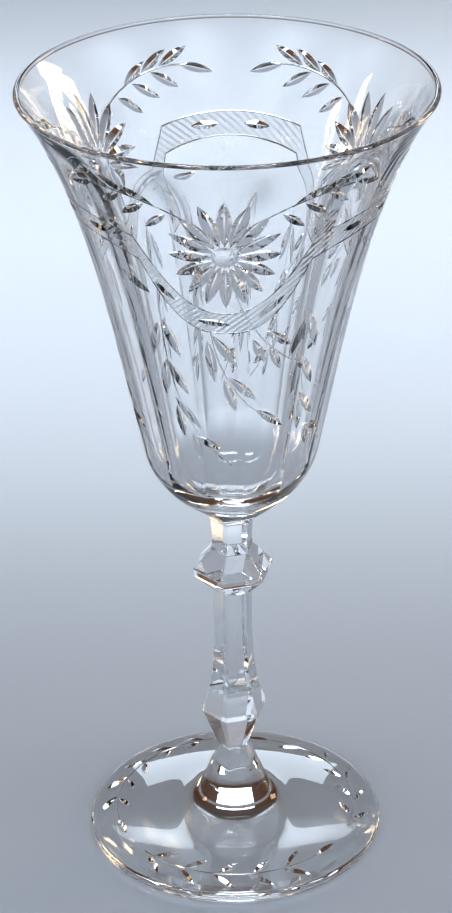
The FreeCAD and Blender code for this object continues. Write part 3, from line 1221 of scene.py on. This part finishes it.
def build_stage():
    """Pale floor, a wide light behind, a narrow one overhead, a warm one on each side, and a camera."""
    stage = bpy.context.scene.wine_glass_stage
    add_floor(stage)
    for name, place, aim, width, height, watts, colour in LAMPS:
        power = stage.key_power if watts is None else watts
        add_lamp(name, place, aim, width, height, power, colour)
    light_room(stage)
    add_camera(stage)
    scene = bpy.context.scene
    scene.cycles.transparent_max_bounces = 24
    scene.cycles.max_bounces = 24
    scene.cycles.transmission_bounces = 24
    scene.cycles.glossy_bounces = 12
    scene.cycles.caustics_refractive = True
    scene.cycles.caustics_reflective = False
    scene.view_settings.view_transform = "Standard"
    scene.view_settings.gamma = 0.75
    scene.view_settings.exposure = 0.45


def add_floor(stage):
    half, level = FLOOR_HALF, -FLOOR_DROP
    corners = [(-half, -half, level), (half, -half, level), (half, half, level), (-half, half, level)]
    floor_mesh = bpy.data.meshes.new("floor")
    floor_mesh.from_pydata(corners, [], [(0, 1, 2, 3)])
    floor = bpy.data.objects.new("floor", floor_mesh)
    bpy.context.scene.collection.objects.link(floor)
    floor_mesh.materials.append(floor_material(stage))


def add_lamp(name, place, aim, width, height, power, colour):
    """Soft rectangular light that faces a point."""
    light = bpy.data.lights.new(name, "AREA")
    light.shape = "RECTANGLE"
    light.size, light.size_y = width, height
    light.energy = power
    light.color = colour
    lamp = bpy.data.objects.new(name, light)
    lamp.location = place
    lamp.rotation_euler = (Vector(aim) - Vector(place)).to_track_quat("-Z", "Y").to_euler()
    bpy.context.scene.collection.objects.link(lamp)


def light_room(stage):
    """Surround: dim and warm low on the far side, dimmer higher up, and pale on the viewer's side."""
    world = bpy.data.worlds.new("room")
    bpy.context.scene.world = world
    world.use_nodes = True
    tree = world.node_tree
    background = tree.nodes["Background"]
    direction = tree.nodes.new("ShaderNodeTexCoord")
    parts = tree.nodes.new("ShaderNodeSeparateXYZ")
    ramp = tree.nodes.new("ShaderNodeValToRGB")
    ramp.color_ramp.elements[0].position = 0.0
    ramp.color_ramp.elements[0].color = tuple(stage.surround_colour) + (1.0,)
    ramp.color_ramp.elements[1].position = 0.95
    ramp.color_ramp.elements[1].color = (0.08, 0.07, 0.065, 1.0)
    halfway = ramp.color_ramp.elements.new(0.5)
    halfway.color = tuple(0.5 * value for value in stage.surround_colour) + (1.0,)
    toward_viewer = tree.nodes.new("ShaderNodeMapRange")
    plain_input(toward_viewer, From_Min=FAR_SIDE, From_Max=NEAR_SIDE)
    sides = tree.nodes.new("ShaderNodeMix")
    sides.data_type = "RGBA"
    sides.inputs["B"].default_value = tuple(stage.fill_colour) + (1.0,)
    join(tree, direction.outputs["Generated"], parts.inputs["Vector"])
    join(tree, parts.outputs["Z"], ramp.inputs["Fac"])
    join(tree, parts.outputs["Y"], toward_viewer.inputs["Value"])
    join(tree, toward_viewer.outputs["Result"], sides.inputs["Factor"])
    join(tree, ramp.outputs["Color"], sides.inputs["A"])
    join(tree, sides.outputs["Result"], background.inputs["Color"])
    background.inputs["Strength"].default_value = 1.0


def add_camera(stage):
    camera_data = bpy.data.cameras.new("camera")
    camera_data.sensor_fit = "AUTO"
    camera_data.sensor_width = 36.0
    camera_data.lens = stage.lens
    camera_data.clip_start = 0.01
    camera = bpy.data.objects.new("camera", camera_data)
    bpy.context.scene.collection.objects.link(camera)
    camera.matrix_world = camera_place(stage)
    bpy.context.scene.camera = camera


def camera_place(stage):
    """Turns the camera from looking along +Y: down by the tilt, aside by the turn, and rolled."""
    tilt, turn, roll = stage.camera_tilt, stage.camera_turn, stage.camera_roll
    forward = Vector((math.sin(turn) * math.cos(tilt), math.cos(turn) * math.cos(tilt), -math.sin(tilt)))
    level = Vector((math.cos(turn), -math.sin(turn), 0.0))
    upright = level.cross(forward)
    right = level * math.cos(roll) + upright * math.sin(roll)
    up = upright * math.cos(roll) - level * math.sin(roll)
    place = Matrix((right, up, -forward)).transposed().to_4x4()
    place.translation = (0.0, -stage.camera_distance, stage.camera_height)
    return place


def floor_material(stage):
    """Pale painted board: even colour with faint broad clouding and a soft sheen."""
    material = bpy.data.materials.new("pale floor")
    material.use_nodes = True
    tree = material.node_tree
    shader = tree.nodes["Principled BSDF"]
    plain_input(shader, IOR=1.6, Metallic=0.0)
    place = tree.nodes.new("ShaderNodeTexCoord")
    cloud = tree.nodes.new("ShaderNodeTexNoise")
    plain_input(cloud, Scale=7.0, Detail=3.0)
    tone = tree.nodes.new("ShaderNodeMix")
    tone.data_type = "RGBA"
    tone.inputs["A"].default_value = tuple(stage.floor_colour) + (1.0,)
    tone.inputs["B"].default_value = tuple(0.93 * value for value in stage.floor_colour) + (1.0,)
    shine = tree.nodes.new("ShaderNodeMapRange")
    plain_input(shine, To_Min=0.20, To_Max=0.23)
    join(tree, place.outputs["Object"], cloud.inputs["Vector"])
    join(tree, cloud.outputs["Fac"], tone.inputs["Factor"])
    join(tree, cloud.outputs["Fac"], shine.inputs["Value"])
    join(tree, tone.outputs["Result"], shader.inputs["Base Color"])
    join(tree, shine.outputs["Result"], shader.inputs["Roughness"])
    return material


# ---------------------------------------------------------------- operators and the panel

class WINEGLASS_OT_bowl(bpy.types.Operator):
    """Builds the cut bowl"""
    bl_idname = "wineglass.bowl"
    bl_label = "Bowl"

    def execute(self, context):
        build_bowl()
        return {"FINISHED"}


class WINEGLASS_OT_stem(bpy.types.Operator):
    """Builds the six-sided stem: collar, knop and shaft"""
    bl_idname = "wineglass.stem"
    bl_label = "Stem"

    def execute(self, context):
        build_collar()
        build_knop()
        build_shaft()
        return {"FINISHED"}


class WINEGLASS_OT_foot(bpy.types.Operator):
    """Builds the foot with its cut leaves"""
    bl_idname = "wineglass.foot"
    bl_label = "Foot"

    def execute(self, context):
        build_foot()
        return {"FINISHED"}


class WINEGLASS_OT_stage(bpy.types.Operator):
    """Builds the plain studio: floor, lights and camera"""
    bl_idname = "wineglass.stage"
    bl_label = "Studio"

    def execute(self, context):
        build_stage()
        return {"FINISHED"}


OPERATORS = (WINEGLASS_OT_bowl, WINEGLASS_OT_stem, WINEGLASS_OT_foot, WINEGLASS_OT_stage)

SETTINGS = {
    "wine_glass_bowl": WineGlassBowl,
    "wine_glass_cutting": WineGlassCutting,
    "wine_glass_stem": WineGlassStem,
    "wine_glass_foot": WineGlassFoot,
    "wine_glass_finish": WineGlassFinish,
    "wine_glass_stage": WineGlassStage,
}


class WINEGLASS_PT_panel(bpy.types.Panel):
    """Lists the pieces and their sizes"""
    bl_label = "Wine glass"
    bl_idname = "WINEGLASS_PT_panel"
    bl_space_type = "VIEW_3D"
    bl_region_type = "UI"
    bl_category = "Wine glass"

    def draw(self, context):
        for made in OPERATORS:
            self.layout.operator(made.bl_idname)
        for name in SETTINGS:
            group = getattr(context.scene, name)
            column = self.layout.box().column()
            for setting in group.bl_rna.properties:
                if setting.identifier not in ("name", "rna_type"):
                    column.prop(group, setting.identifier)


def register():
    for made in list(SETTINGS.values()) + list(OPERATORS) + [WINEGLASS_PT_panel]:
        bpy.utils.register_class(made)
    for name, group in SETTINGS.items():
        setattr(bpy.types.Scene, name, bpy.props.PointerProperty(type=group))


def unregister():
    for name in SETTINGS:
        delattr(bpy.types.Scene, name)
    for made in [WINEGLASS_PT_panel] + list(OPERATORS) + list(SETTINGS.values()):
        bpy.utils.unregister_class(made)


def main():
    register()
    bpy.ops.wineglass.stage()
    bpy.ops.wineglass.bowl()
    bpy.ops.wineglass.stem()
    bpy.ops.wineglass.foot()


if __name__ == "__main__":
    main()
